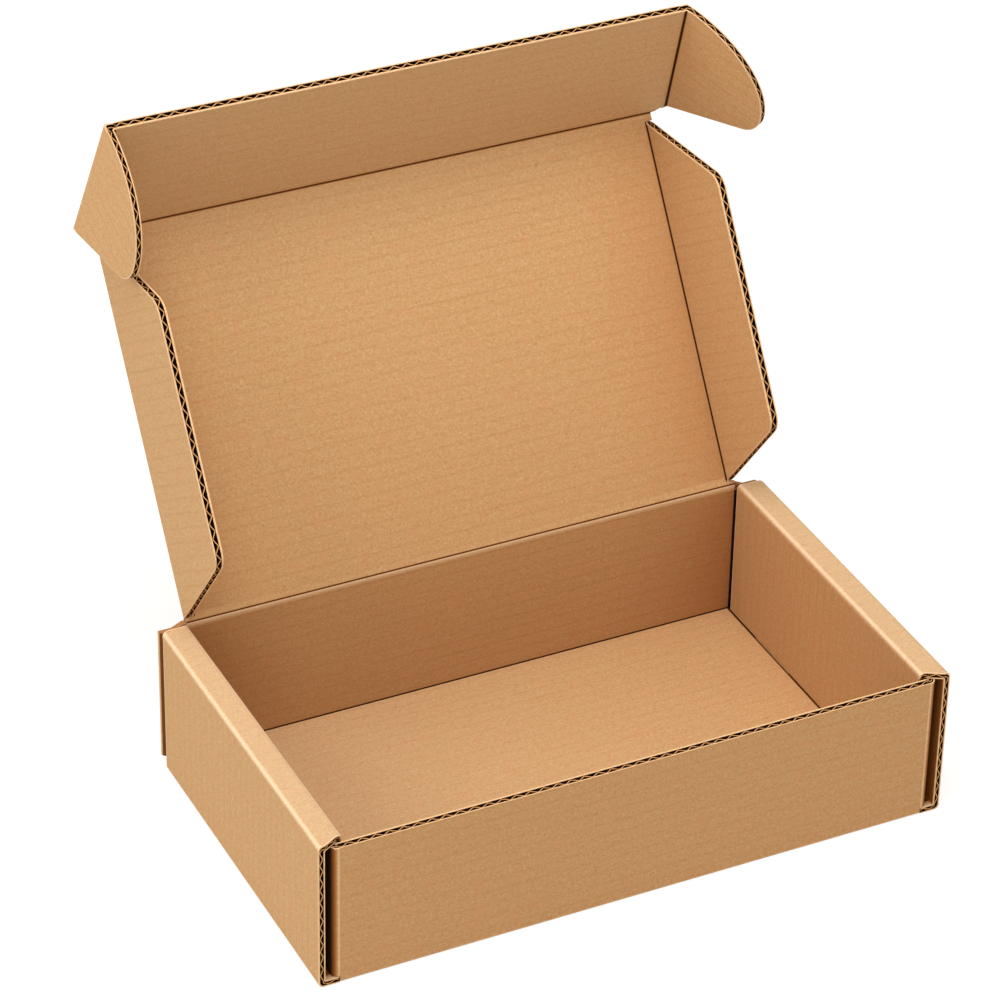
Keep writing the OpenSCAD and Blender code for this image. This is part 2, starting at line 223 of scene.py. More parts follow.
def path(start, heading, parts, puff=(0.0, 0.0)):
    """Follows the middle of a folded board in its section. Left of the heading is the inner side,
    which is thicker by puff at the start and at the end. Returns points, the ways from them to the
    inner and outer skins, lengths along the board, and the folds as (from, to, degrees, start of
    the ridge, end of the ridge)."""
    p, a, s = np.array(start, float), math.radians(heading), 0.0
    pts, ups, downs, length, folds = [], [], [], [], []

    def put(down=None):
        pts.append(p.copy())
        ups.append(left(a) * BOARD / 2)
        downs.append(-left(a) * BOARD / 2 if down is None else down)
        length.append(s)

    put()
    for kind, size, *radius in parts:
        p0, a0, s0 = p.copy(), a, s
        if kind == "line":
            near = [d for d in LINE_ROWS if 2 * d < size]
            for d in near + [size - d for d in near[::-1]] + [size]:
                p, s = p0 + d * ahead(a), s0 + d
                put()
            continue
        side = 1 if size > 0 else -1
        turn = math.radians(size)
        r = FOLD_IN + BOARD / 2 + (max(puff) if side > 0 else 0.0)
        r_out = radius[0] if radius else FOLD_OUT
        centre = p + side * r * left(a)
        # the outer skin runs on straight and turns more tightly
        straight = (r + BOARD / 2 - r_out) * math.tan(abs(turn) / 2)
        whole = 2 * straight + r_out * abs(turn)
        # an odd number of rows, so that one lies in the middle of the fold
        rows = np.linspace(straight, whole - straight, max(5, int(abs(size) / 12)) | 1)
        near = np.array([straight / 2, min(RIDGE_ROWS[0], straight / 3), RIDGE_ROWS[1]])
        for go in np.r_[straight - near, rows, whole - straight + near[::-1], whole]:
            a = a0 + turn * go / whole
            p, s = centre - side * r * left(a), s0 + abs(turn) * r * go / whole
            if side < 0:
                put()
                continue
            way = a0 + np.clip((go - straight) / r_out, 0, turn)
            out = p0 - left(a0) * BOARD / 2 + ahead(a0) * min(go, straight)
            out = out + r_out * (left(a0) - left(way))
            out = out + ahead(way) * max(0.0, go - whole + straight)
            put(out - p)
        inset = straight / whole * (s - s0)
        folds.append((s0, s, size, s0 + inset, s - inset))
    length = np.array(length)
    thicker = 1 + np.interp(length, (0, s), puff) / (BOARD / 2)
    return np.array(pts), (np.array(ups) * thicker[:, None], np.array(downs)), length, folds


def fold_marks(s, folds, dark, pale):
    """Tones of the inner and outer sides. A fold to the inner side gets painted shade there, and on its
    ridge a pale mark that is partly wear and partly a painted highlight; a fold to the outer side gets a
    thin line of painted shade on both sides."""
    inner, outer = np.zeros(len(s)), np.zeros(len(s))
    for start, end, size, ridge_start, ridge_end in folds:
        if size < 0:
            away = np.abs(s - (start + end) / 2) / (0.25 * DARK_FADE)
            line = dark * np.clip(1.5 - away, 0, 1)
            inner -= 0.9 * line
            outer -= 0.7 * line
            continue
        sharp = min(1.0, size / 60)
        near = np.clip(1 - np.maximum(start - s, s - end) / DARK_FADE, 0, 1)
        inner -= dark * near * max(sharp, 0.9)
        half = (ridge_end - ridge_start) / 2
        away = np.abs(s - ridge_start - half) / (half + PALE_FADE)
        outer += pale * sharp * np.clip(1 - away, 0, 1)
    return inner, outer


def rounded(points, radius, steps=7):
    """An open line with its inner corners rounded."""
    points = np.array(points, float)
    out = [points[0]]
    for a, b, c in zip(points[:-2], points[1:-1], points[2:]):
        u, v = unit(a - b), unit(c - b)
        half = math.acos(float(np.clip(u @ v, -1, 1))) / 2
        centre = b + unit(u + v) * radius / math.sin(half)
        p = b + u * radius / math.tan(half) - centre
        q = b + v * radius / math.tan(half) - centre
        turn = math.pi / 2 - half
        for k in np.arange(steps + 1) / steps:
            way = p * math.sin((1 - k) * turn) + q * math.sin(k * turn)
            out.append(centre + radius * unit(way + TINY))
    out.append(points[-1])
    return np.array(out)


def cut_edge(board, line, inward, up, down, sheet, depth):
    """A cut edge: two liner edges, and the fluted sheet in the hollow between them, whose faces are near
    black as painted shade.
    """
    keep = np.r_[True, np.linalg.norm(np.diff(line, axis=0), axis=1) > 1e-4]
    line, inward, up, down, sheet, depth = (q[keep] for q in (line, inward, up, down, sheet, depth))
    if len(line) < 2:
        return
    inner = 1 - LINER / (BOARD / 2)
    lip = line + inward * 0.03
    deep = line + inward * depth[:, None]
    back, place = -inward[:, None], sheet[:, None]
    for way in (up, down):
        board.grid(np.stack([line + way, lip + way * inner], 1), back, place, EDGE)
        board.grid(np.stack([lip + way * inner, deep + way * inner], 1), -way[:, None], place, HOLLOW_SHADE)
    board.grid(np.stack([deep + up * inner, deep + down * inner], 1), back, place, HOLLOW_SHADE)
    for k in (0, -1):
        cap = np.array([[q[k] + way[k] * inner for q in (line, deep)] for way in (up, down)])
        board.grid(cap, line[len(line) // 2] - line[k], sheet[k], HOLLOW_SHADE)
    fluting(board, line, inward, up * inner, down * inner, sheet, depth)


def fluting(board, line, inward, up, down, sheet, depth):
    """The fluted sheet along a cut edge, a little crushed at the cut, between the ways up and down."""
    crush_least, crush_more, dim_at = 0.16, 0.14, 0.6
    # tones along the flute walls: painted light at the cut, then painted shade deeper in
    painted_light_to_shade = np.array([0.35, -0.6, -0.9])
    s = np.r_[0, np.cumsum(np.linalg.norm(np.diff(line, axis=0), axis=1))]
    at = np.linspace(0, s[-1], max(2, int(s[-1] / (PITCH / 10)) + 1))

    def pick(q):
        return np.stack([np.interp(at, s, q[:, i]) for i in range(q.shape[1])], 1)

    middle, into, place = pick(line + (up + down) / 2), unit(pick(inward)), pick(sheet)
    normal = pick((up - down) / 2)
    tall = np.linalg.norm(normal, axis=1) - MEDIUM * 0.45
    normal = unit(normal)
    along = unit(np.gradient(middle, axis=0))
    drifts = max(3, int(s[-1] / 25))
    wander = np.interp(at, np.linspace(0, s[-1], drifts), rng.normal(0, 0.35, drifts))
    phase = 2 * math.pi * at / PITCH + rng.uniform(0, 6.28) + wander
    rise = 2 / math.pi * np.arcsin(0.985 * np.sin(phase)) * tall
    slope = np.gradient(rise, at)
    k = 1 / np.sqrt(1 + slope ** 2)
    tilt = normal * k[:, None] - along * (slope * k)[:, None]
    wave = middle + normal * rise[:, None]
    crush = into * (crush_least + crush_more * rng.random(len(at)))[:, None]
    far = into * (0.98 * np.interp(at, s, depth))[:, None]
    top, low = wave + tilt * MEDIUM / 2, wave - tilt * MEDIUM / 2
    # the crushed cut face, in full painted light
    board.grid(np.stack([top + crush, low + crush], 1), -into[:, None], place[:, None], WAVE, 1.0)
    for skin, facing in ((top, tilt), (low, -tilt)):
        rows = np.stack([skin + crush, skin + into * dim_at, skin + far], 1)
        board.grid(rows, facing[:, None], place[:, None], WAVE, painted_light_to_shade)


def strip(board, mid, skins, axis, lo, hi, sheet_at, sides=("cut", "cut"), ends=("plain", "plain"),
          marks=(0.0, 0.0), bow=0.0, cols=9, square=False):
    """A board that follows mid, with the given ways to its skins, and runs along axis from lo to hi.
    sides and ends are cut, plain or none. marks are the tones of the inner and outer sides. cols is
    a number of columns, or their places from 0 to 1. square keeps the flutes along the axis."""
    up, down = skins
    rows = len(mid)
    lo, hi = (np.broadcast_to(np.asarray(q, float), (rows,)) for q in (lo, hi))
    pad = np.minimum(RIM, 0.2 * (hi - lo))[:, None]
    share = np.linspace(0, 1, cols) if np.isscalar(cols) else cols
    a = np.c_[lo, lo[:, None] + pad + (hi[:, None] - lo[:, None] - 2 * pad) * share, hi]
    share = np.r_[0, share, 1]
    # a pale rim along cut edges: partly wear, partly a painted highlight
    rim = np.zeros(a.shape)
    borders = (slice(None), 0), (slice(None), -1), 0, -1
    for kind, border in zip((*sides, *ends), borders):
        if kind == "cut":
            rim[border] = 1.0
    base = mid[:, None] + a[..., None] * axis
    run = np.r_[0, np.cumsum(np.linalg.norm(np.diff(mid, axis=0), axis=1))]
    lift = bow * np.sin(np.pi * run / run[-1])[:, None] * np.sin(np.pi * share)
    bowed = base + unit(up)[:, None] * lift[..., None]
    sheet = np.stack(sheet_at(a, np.broadcast_to(np.arange(rows)[:, None], a.shape)), -1)
    for way, tone in zip(skins, marks):
        tone = np.asarray(tone, float)
        tone = tone if tone.ndim == 2 else np.broadcast_to(tone, (rows,))[:, None]
        board.grid(bowed + way[:, None], way[:, None], sheet, FACE, tone + rim * (tone > -0.5))
    for kind, ext, col, into in ((sides[0], lo, 0, axis), (sides[1], hi, -1, -axis)):
        line = mid + ext[:, None] * axis
        if kind == "cut":
            tangent = unit(np.gradient(line, axis=0) + TINY)
            inward = unit(into - (tangent @ into)[:, None] * tangent)
            if square:
                inward = np.broadcast_to(into, line.shape)
            depth = np.minimum(DEPTH, 0.45 * np.abs(hi - lo) + 0.3)
            cut_edge(board, line, inward, up, down, sheet[:, col], depth)
        elif kind == "plain":
            edge = np.stack([line + up, line + down], 1)
            board.grid(edge, -into, sheet[:, col][:, None], FACE, PLAIN_EDGE)
    for kind, row, beside in ((ends[0], 0, 1), (ends[1], -1, -2)):
        line = base[row]
        into = unit(mid[beside] - mid[row])
        rise, drop = (np.broadcast_to(way[row], line.shape) for way in skins)
        if kind == "cut":
            depth = np.full(len(line), min(DEPTH, 0.45 * np.linalg.norm(mid[-1] - mid[0])))
            cut_edge(board, line, np.broadcast_to(into, line.shape), rise, drop, sheet[row], depth)
        elif kind == "plain":
            edge = np.stack([line + rise, line + drop], 1)
            board.grid(edge, -into, sheet[row][:, None], FACE, PLAIN_EDGE)


def flat(frame_of, rows, lo, hi, board, shift=0.0, puff=0.0, **kw):
    """A flat panel in a frame (place, across, along, normal); rows run along it."""
    place, across, along, normal = frame_of
    rows = np.asarray(rows, float)
    mid = place + rows[:, None] * along
    up = np.broadcast_to(normal * (BOARD / 2 + puff), mid.shape)
    down = np.broadcast_to(-normal * BOARD / 2, mid.shape)
    strip(board, mid, (up, down), across, lo, hi, lambda a, i: (a, shift + rows[i]), **kw)


# Procedural materials

def nodes_of(name):
    mat = bpy.data.materials.new(name)
    mat.use_nodes = True
    tree = mat.node_tree
    return mat, tree, tree.nodes["Principled BSDF"]


class Graph:
    """Adds nodes to a material, in short calls."""

    def __init__(self, tree):
        self.tree = tree

    def node(self, kind, **values):
        n = self.tree.nodes.new(kind)
        for key, value in values.items():
            if hasattr(n, key):
                setattr(n, key, value)
            else:
                n.inputs[key].default_value = value
        return n

    def link(self, a, b):
        self.tree.links.new(a, b)

    def held(self, name, output):
        return self.node("ShaderNodeAttribute", attribute_name=name).outputs[output]

    def maths(self, op, a, b=None, clamp=False):
        n = self.tree.nodes.new("ShaderNodeMath")
        n.operation, n.use_clamp = op, clamp
        for i, q in enumerate((a, b)):
            if q is None:
                continue
            if isinstance(q, (int, float)):
                n.inputs[i].default_value = q
            else:
                self.link(q, n.inputs[i])
        return n.outputs[0]

    def times(self, a, b, clamp=False):
        return self.maths("MULTIPLY", a, b, clamp)

    def noise(self, vector, scale, detail=2.0, rough=0.5, stretch=None, distortion=0.0):
        if stretch:
            m = self.node("ShaderNodeMapping")
            m.inputs["Scale"].default_value = stretch
            self.link(vector, m.inputs["Vector"])
            vector = m.outputs[0]
        n = self.node("ShaderNodeTexNoise", Scale=scale, Detail=detail, Roughness=rough,
                      Distortion=distortion)
        self.link(vector, n.inputs["Vector"])
        return n.outputs["Fac"]

    def ramp(self, fac, low, high):
        n = self.node("ShaderNodeMapRange")
        n.inputs["From Min"].default_value = low
        n.inputs["From Max"].default_value = high
        self.link(fac, n.inputs["Value"])
        return n.outputs[0]

    def mix(self, fac, a, b):
        n = self.tree.nodes.new("ShaderNodeMix")
        n.data_type = "RGBA"
        for sock, q in ((n.inputs[0], fac), (n.inputs[6], a), (n.inputs[7], b)):
            if isinstance(q, tuple):
                sock.default_value = (*q, 1.0)
            else:
                self.link(q, sock)
        return n.outputs[2]

    def bump(self, bsdf, height, strength, distance):
        n = self.node("ShaderNodeBump", Strength=strength, Distance=distance)
        self.link(height, n.inputs["Height"])
        self.link(n.outputs[0], bsdf.inputs["Normal"])


def linear(r, g, b):
    """A colour as seen on a screen, from 0 to 255, in the renderer's linear values."""
    def channel(c):
        return c / 255 / 12.92 if c <= 10 else ((c / 255 + 0.055) / 1.055) ** 2.4
    return channel(r), channel(g), channel(b)


KRAFT_DEEP, KRAFT_PALE = linear(192, 136, 80), linear(212, 179, 136)
STAIN, HAIR = linear(213, 151, 110), linear(180, 129, 80)
SPECK, SUNK_SHADE = linear(120, 72, 38), linear(178, 128, 78)
PALE_WEAR_AND_LIGHT, SHADED, BLACK_SHADE = linear(250, 224, 192), linear(150, 86, 28), linear(24, 10, 4)


def kraft_face():
    """The liner: fibres, stains, specks and faint ribs, paler where the tone is above 0, for wear and
    painted light, and darker where it is below 0, for painted shade.
    """
    mat, tree, bsdf = nodes_of("kraft_liner")
    g = Graph(tree)
    sheet, tone = g.held("sheet", "Vector"), g.held("tone", "Fac")
    split = g.node("ShaderNodeSeparateXYZ")
    g.link(sheet, split.inputs[0])
    # the liner sinks a little between the flutes
    drift = g.times(g.noise(sheet, scale=0.02, detail=1), 1.5)
    wave_at = g.maths("ADD", g.times(split.outputs[1], 2 * math.pi / PITCH), drift)
    sunk = g.maths("POWER", g.maths("MAXIMUM", g.maths("SINE", wave_at), 0.0), 6.0)
    patchy = g.ramp(g.noise(sheet, scale=0.03, stretch=(0.35, 1.0, 1.0)), 0.35, 0.65)
    sunk = g.times(sunk, g.maths("ADD", g.times(patchy, 0.4), 0.6))
    fibre = g.noise(sheet, scale=0.95, detail=3, rough=0.62, distortion=1.2)
    hair = g.noise(sheet, scale=0.6, rough=0.7, stretch=(0.35, 1.6, 1.0))
    stain = g.noise(sheet, scale=0.11)
    speck = g.node("ShaderNodeTexVoronoi", Scale=0.06)
    g.link(sheet, speck.inputs["Vector"])
    speck = g.maths("LESS_THAN", speck.outputs["Distance"], 0.022)
    base = g.mix(g.ramp(fibre, 0.25, 0.75), KRAFT_DEEP, KRAFT_PALE)
    base = g.mix(g.times(g.ramp(stain, 0.56, 0.70), 0.3), base, STAIN)
    base = g.mix(g.times(g.ramp(hair, 0.52, 0.78), 0.3), base, HAIR)
    base = g.mix(g.times(speck, 0.5), base, SPECK)
    # painted shade in the dips where the liner sinks between the flutes
    base = g.mix(g.times(sunk, 0.21), base, SUNK_SHADE)
    rub = g.maths("ADD", g.times(fibre, 0.5), 0.6, clamp=True)
    # pale where the tone is above 0: partly wear, partly painted light and painted highlights
    wear_and_painted_light = g.times(g.maths("MAXIMUM", tone, 0.0), rub, clamp=True)
    base = g.mix(g.times(wear_and_painted_light, 0.85), base, PALE_WEAR_AND_LIGHT)
    # painted shade where the tone is below 0: darker in two steps, to brown and then to black
    shade = g.times(tone, -2.0)
    base = g.mix(g.times(shade, 1.0, clamp=True), base, SHADED)
    base = g.mix(g.maths("SUBTRACT", shade, 1.0, clamp=True), base, BLACK_SHADE)
    g.link(base, bsdf.inputs["Base Color"])
    g.link(g.maths("ADD", g.times(hair, 0.16), 0.74), bsdf.inputs["Roughness"])
    bsdf.inputs["Specular IOR Level"].default_value = 0.22
    height = g.maths("ADD", g.times(sunk, -0.6), g.times(fibre, 0.5))
    g.bump(bsdf, height, strength=0.32, distance=0.0002)
    return mat


def kraft_edge(name, pale, dark, scale, lit=None):
    """Torn fibres. Where lit is given, the tone runs from it, a painted light, to near black, a painted
    shade.
    """
    mat, tree, bsdf = nodes_of(name)
    g = Graph(tree)
    sheet, tone = g.held("sheet", "Vector"), g.held("tone", "Fac")
    base = g.mix(g.ramp(g.noise(sheet, scale, detail=4, rough=0.7), 0.3, 0.7), dark, pale)
    if lit:
        base = g.mix(g.times(tone, 1.0, clamp=True), base, lit)
        base = g.mix(g.times(tone, -1.4, clamp=True), base, linear(34, 19, 9))
    g.link(base, bsdf.inputs["Base Color"])
    bsdf.inputs["Roughness"].default_value = 0.9
    bsdf.inputs["Specular IOR Level"].default_value = 0.12
    g.bump(bsdf, g.noise(sheet, scale * 1.7, detail=3, rough=0.7), strength=0.4, distance=0.0001)
    return mat


# In the order of FACE, EDGE, WAVE and HOLLOW_SHADE
MATERIALS = [
    kraft_face(),
    kraft_edge("kraft_cut_liner", linear(244, 206, 160), linear(220, 174, 124), 0.8),
    # the fluting: painted light at its cut face, painted shade deeper in the flutes
    kraft_edge("kraft_fluting", linear(152, 94, 50), linear(114, 66, 33), 0.6, linear(210, 152, 98)),
    # painted shade: near black faces deep in a cut edge and in the slots
    kraft_edge("kraft_flute_hollow_shade", linear(48, 26, 12), linear(30, 15, 7), 0.5),
]


# Tray

def section(points, p, q, origin=0.0):
    """Points of a section carried into space along the directions p and q."""
    return origin + points[:, :1] * p + points[:, 1:] * q


def both(skins, p, q):
    """The ways to both skins, carried into space in the same manner."""
    return tuple(section(way, p, q) for way in skins)


def front_wall(board):
    """The front wall and its fold to the bottom. Returns its length on the sheet."""
    pts, skins, s, folds = path((FRONT + BOARD / 2, FRONT_HEIGHT), -90, [
        ("line", FRONT_HEIGHT - BOARD - FOLD_IN), ("bend", 90)])
    creased, ridged = fold_marks(s, folds, 1.0, 0.7)
    high = np.clip((pts[:, 1] - FRONT_HEIGHT / 2) / (FRONT_HEIGHT / 2), 0, 1)
    skins = skins[0] * (1 + FRONT_FLARE * high[:, None]), skins[1]
    strip(board, section(pts, Y, Z), both(skins, Y, Z), X, -FRONT_HALF, FRONT_HALF,
          lambda a, i: (a, s[i]), sides=("none", "none"), ends=("cut", "none"),
          marks=(creased, ridged + FRONT_PAINTED_SHADE), cols=61)
    return s[-1]


def bottom(board, v0):
    """The bottom, with slots for the tabs, painted light that fades towards the back right, and a line
    of painted shade along the end walls.
    """
    slot = INNER_FACE - GAP, INNER_FACE + BOARD + GAP
    dark = INNER_FACE - 1.1, INNER_FACE - 0.6
    tab_ends = -TAB / 2 - GAP, TAB / 2 + GAP
    xs = {side * q for side in (-1, 1) for q in (BOTTOM_SIDE, *slot, *dark)}
    xs = sorted(xs | {*np.linspace(-EVEN_SPAN, EVEN_SPAN, 9)})
    ys = {at + q for at in (-TAB_AT, TAB_AT) for q in tab_ends}
    ys = sorted(ys | {BOTTOM_FRONT, BOTTOM_BACK, -80.0, 0.0, 80.0})
    for x_pair in zip(xs[:-1], xs[1:]):
        for y_pair in zip(ys[:-1], ys[1:]):
            x, y = np.meshgrid(x_pair, y_pair, indexing="ij")
            sheet = np.stack([x, v0 + y - BOTTOM_FRONT], -1)
            in_slot = slot[0] < abs(x.mean()) < slot[1] and abs(abs(y.mean()) - TAB_AT) < tab_ends[1]
            if in_slot:
                slot_walls(board, x, y, sheet[0, 0])
                continue
            # painted light, paler towards the left front and a little darker towards the back right;
            # painted shade along the end walls
            tone = 0.08 - 0.0007 * x - 0.0006 * y
            tone -= 0.9 * np.clip((np.abs(x) - dark[0]) / (dark[1] - dark[0]), 0, 1)
            board.grid(np.stack([x, y, 0 * x + BOARD], -1), Z, sheet, FACE, tone)
            board.grid(np.stack([x, y, 0 * x], -1), -Z, sheet, FACE)


def slot_walls(board, x, y, sheet):
    """The cut sides of a slot in the bottom, near black as painted shade."""
    walls = ((0, 0), (0, 1), X), ((1, 0), (1, 1), -X), ((0, 0), (1, 0), Y), ((0, 1), (1, 1), -Y)
    for a, b, out in walls:
        foot = np.array([[x[a], y[a], 0.0], [x[b], y[b], 0.0]])
        board.grid(np.stack([foot, foot + BOARD * Z], 1), out, sheet, HOLLOW_SHADE)


def back_wall(board, v1):
    """The fold from the bottom, and the back wall up to the lid's crease, with painted shade that
    deepens in its corners.
    """
    pts, skins, s, folds = path((BOTTOM_BACK, BOARD / 2), 0, [
        ("bend", 90), ("line", CREASE_FOOT - BOARD - FOLD_IN)])
    creased, ridged = fold_marks(s, folds, 1.0, 0.7)
    slit, black, shade_from = 0.2, 0.5, 60.0
    beside = np.array([slit, black, 2.0])
    xs = np.r_[-INNER_FACE - beside[::-1], np.linspace(-EVEN_SPAN, EVEN_SPAN, 27), INNER_FACE + beside]
    xs = np.r_[-BACK_HALF, xs, BACK_HALF]
    away = np.abs(np.r_[-BACK_HALF, xs, BACK_HALF])
    # painted shade over the wall, deeper in its corners, and black in the slit beside each end wall
    shade = -0.08 - 0.21 * np.clip((away - shade_from) / (INNER_FACE - shade_from), 0, 1) ** 2
    shade -= 0.8 * np.clip((away - INNER_FACE - slit) / (black - slit), 0, 1)
    strip(board, section(pts, Y, Z), both(skins, Y, Z), X, -BACK_HALF, BACK_HALF,
          lambda a, i: (a, v1 + s[i]), sides=("plain", "plain"), ends=("none", "plain"),
          marks=(np.minimum(creased[:, None], shade), ridged), cols=(xs + BACK_HALF) / (2 * BACK_HALF))


def end_wall(side, v0):
    """The right end wall: outer board, top strip and inner board, with the inner board's tabs."""
    pts, skins, s, folds = path((BOTTOM_SIDE, BOARD / 2), 0, [
        ("bend", 90, ROLL_OUT), ("line", HEIGHT - 2 * (BOARD + FOLD_IN)),
        ("bend", 90, ROLL_OUT), ("line", ROLL - 2 * (BOARD + FOLD_IN)),
        ("bend", 90, ROLL_OUT), ("line", INNER_STEP), ("line", INNER_BOARD - INNER_STEP)])
    outer_fold, inner_fold = folds[1:]
    slant = np.clip((SIDE - BOARD - pts[:, 0]) / (ROLL - BOARD), 0, 1)
    in_inner = s > s[-1] - INNER_BOARD + 0.8 * INNER_STEP
    front = np.where(in_inner, INNER_FRONT, FRONT + slant * (INNER_FRONT - FRONT))
    back = np.interp(s, (*outer_fold[:2], *inner_fold[:2]),
                     (OUTER_BACK, STRIP_BACK, STRIP_BACK, INNER_BACK))
    # pale ridges, partly wear and partly a painted highlight; painted light on the top strip and painted
    # shade on the inner board
    tone = fold_marks(s, folds, 0.0, 1.0)[1]
    tone += np.where((s > outer_fold[4]) & (s < inner_fold[3]), STRIP_PAINTED_LIGHT, 0.0)
    tone += np.where(s > inner_fold[1], INNER_PAINTED_SHADE, 0.0)
    cols = 25
    # painted shade on the side that faces the slot, lighter near its open front
    in_slot = -0.9 + 0.5 * np.clip(1 - 6 * np.linspace(0, 1, cols + 2), 0, 1) + np.zeros((len(s), 1))
    strip(side, section(pts, X, Z), both(skins, X, Z), Y, front, back,
          lambda a, i: (BOTTOM_SIDE + s[i], v0 + a - BOTTOM_FRONT), ends=("none", "plain"),
          marks=(in_slot, tone), cols=cols, square=True)
    for at in (-TAB_AT, TAB_AT):
        place = np.array([INNER_FACE + BOARD / 2, at, BOARD + GAP])
        flat((place, Y, -Z, X), [0, BOARD + GAP - 0.02], -TAB / 2, TAB / 2, side,
             sides=("plain", "plain"), ends=("none", "plain"), cols=2)


def under_slot(side):
    """The bottom's square corner under the slot."""
    flat((BOARD / 2 * Z, X, Y, Z), [FRONT, BOTTOM_FRONT], FRONT_HALF + FOLD_IN, BOTTOM_SIDE + FOLD_IN,
         side, sides=("plain", "plain"), ends=("cut", "none"), cols=3, marks=(NEAR_SHADE, 0.0))


def front_flap(side):
    """The front wall's corner flap, with a painted highlight on its fold's ridge and painted shade,
    darker the deeper it is in the slot.
    """
    pts, skins, s, folds = path((FRONT_HALF, FRONT + BOARD / 2), 0, [
        ("bend", 90, SOFT_OUT), ("line", FRONT_FLAP - BOARD - FOLD_IN)])
    turned = s / folds[0][1]
    # painted highlight at the ridge, then painted shade into the slot
    in_slot = np.interp(turned, (0.0, 0.075, 0.22, 0.5, 0.8), (0.0, 0.5, -0.22, -0.6, -0.95))
    strip(side, section(pts, X, Y), both(skins, X, Y), Z, BOARD + GAP, FRONT_HEIGHT,
          lambda a, i: (FRONT_HALF + s[i], FRONT_HEIGHT - a), sides=("plain", "cut"),
          ends=("none", "plain"), marks=(PAINTED_SLOT_SHADE, in_slot))


def back_shoulder(side, v1):
    """The back wall beside the lid's crease, sloping down to its corner flap."""
    flat((HINGE_Y * Y, X, Z, -Y), [CREASE_FOOT, SHOULDER, SHOULDER_PEAK],
         LID_HALF, [BACK_HALF, BACK_HALF, LID_HALF + SHOULDER_WIDTH], side, shift=v1, cols=3,
         sides=("none", "plain"), ends=("none", "plain"), marks=(NEAR_SHADE, 0.0))


def back_flap(side, v1):
    """The back wall's corner flap, which folds sharply, slopes into the end wall and straightens."""
    slope = (BACK_HALF - FRONT_CORNER + BOARD + FOLD_IN) * math.sqrt(2)
    pts, skins, s, folds = path((BACK_HALF, BOARD / 2 - BACK), 0, [
        ("bend", 135), ("line", slope), ("bend", -45), ("line", BACK_FLAP)])
    # a pale ridge, partly wear and partly a painted highlight, then painted shade over the rest, which
    # shows in the slit
    tone = fold_marks(s, folds[:1], 0.0, 0.5)[1]
    tone -= 0.75 * np.clip((s - folds[0][4] - 0.02) / 0.1, 0, 1)
    strip(side, section(pts, X, -Y), both(skins, X, -Y), Z, BOARD + GAP, SHOULDER,
          lambda a, i: (BACK_HALF + s[i], v1 + a), sides=("plain", "plain"), ends=("none", "plain"),
          marks=(PAINTED_SLOT_SHADE, tone))


def tray_sheet():
    """The tray, and how far along the sheet its lid's crease is."""
    board, side = Board(), Board()
    v0 = front_wall(board)
    v1 = v0 + BOTTOM_BACK - BOTTOM_FRONT
    bottom(board, v0)
    back_wall(board, v1)
    end_wall(side, v0)
    under_slot(side)
    front_flap(side)
    back_shoulder(side, v1)
    back_flap(side, v1)
    board.add(side)
    board.add(side.mirrored())
    return board, v1 + BOARD + CREASE_FOOT


# Frames of the moving panels: place, across, along, normal to the inner side

LID_UP = np.array([0.0, -math.cos(LID_OPEN), math.sin(LID_OPEN)])
LID_NORMAL = np.array([0.0, -math.sin(LID_OPEN), -math.cos(LID_OPEN)])
HINGE = np.array([0.0, HINGE_Y, HINGE_Z])
LID_FRAME = HINGE, X, LID_UP, LID_NORMAL
TUCK_FOLD = HINGE + LID_DEPTH * LID_UP
TUCK_UP = math.cos(TUCK_BENT) * LID_UP + math.sin(TUCK_BENT) * LID_NORMAL
TUCK_NORMAL = -math.sin(TUCK_BENT) * LID_UP + math.cos(TUCK_BENT) * LID_NORMAL
TUCK_FRAME = TUCK_FOLD, X, TUCK_UP, TUCK_NORMAL


def wing_frame(side):
    out = math.cos(WING_BENT) * side * X + math.sin(WING_BENT) * LID_NORMAL
    normal = unit(-math.sin(WING_BENT) * side * X + math.cos(WING_BENT) * LID_NORMAL)
    return HINGE + side * WING_X * X, out, LID_UP, normal


def ear_lines(side):
    """The ear's crease direction, and the flat direction across it."""
    along = -math.sin(TAPER) * side * X + math.cos(TAPER) * TUCK_UP
    across = math.cos(TAPER) * side * X + math.sin(TAPER) * TUCK_UP
    return along, across


def ear_frame(side):
    along, across = ear_lines(side)
    bent = EAR_BENT[side]
    out = math.cos(bent) * across + math.sin(bent) * TUCK_NORMAL
    normal = -math.sin(bent) * across + math.cos(bent) * TUCK_NORMAL
    return TUCK_FOLD + side * EAR_X * X, out, along, normal


def lid_sheet(v0):
    board = Board()
    step = 0.01
    rows = np.array([REACH, 5.0, *np.linspace(12, WING_END - 8, 12), WING_END - 2, WING_END,
                     WING_END + step, LID_DEPTH - REACH])
    half = np.where(rows <= WING_END, WING_X - REACH, LID_FRONT_HALF)
    cols = 25
    high, right = rows[:, None] / LID_DEPTH, np.linspace(-1, 1, cols + 2)
    # painted light towards the top, painted shade towards the lower right, and painted shadows beside
    # the wings
    painted_wing_shadow = np.clip((np.abs(right) - 0.55) / 0.45, 0, 1) ** 1.5
    tone = 0.09 * high - 0.05 - 0.05 * (1 - high) * (1 + right) / 2 - 0.16 * painted_wing_shadow
    flat(LID_FRAME, rows, -half, half, board, shift=v0, puff=PUFF, sides=("plain", "plain"), bow=LID_BOW,
         cols=cols, marks=(tone, 0.0))
    return board


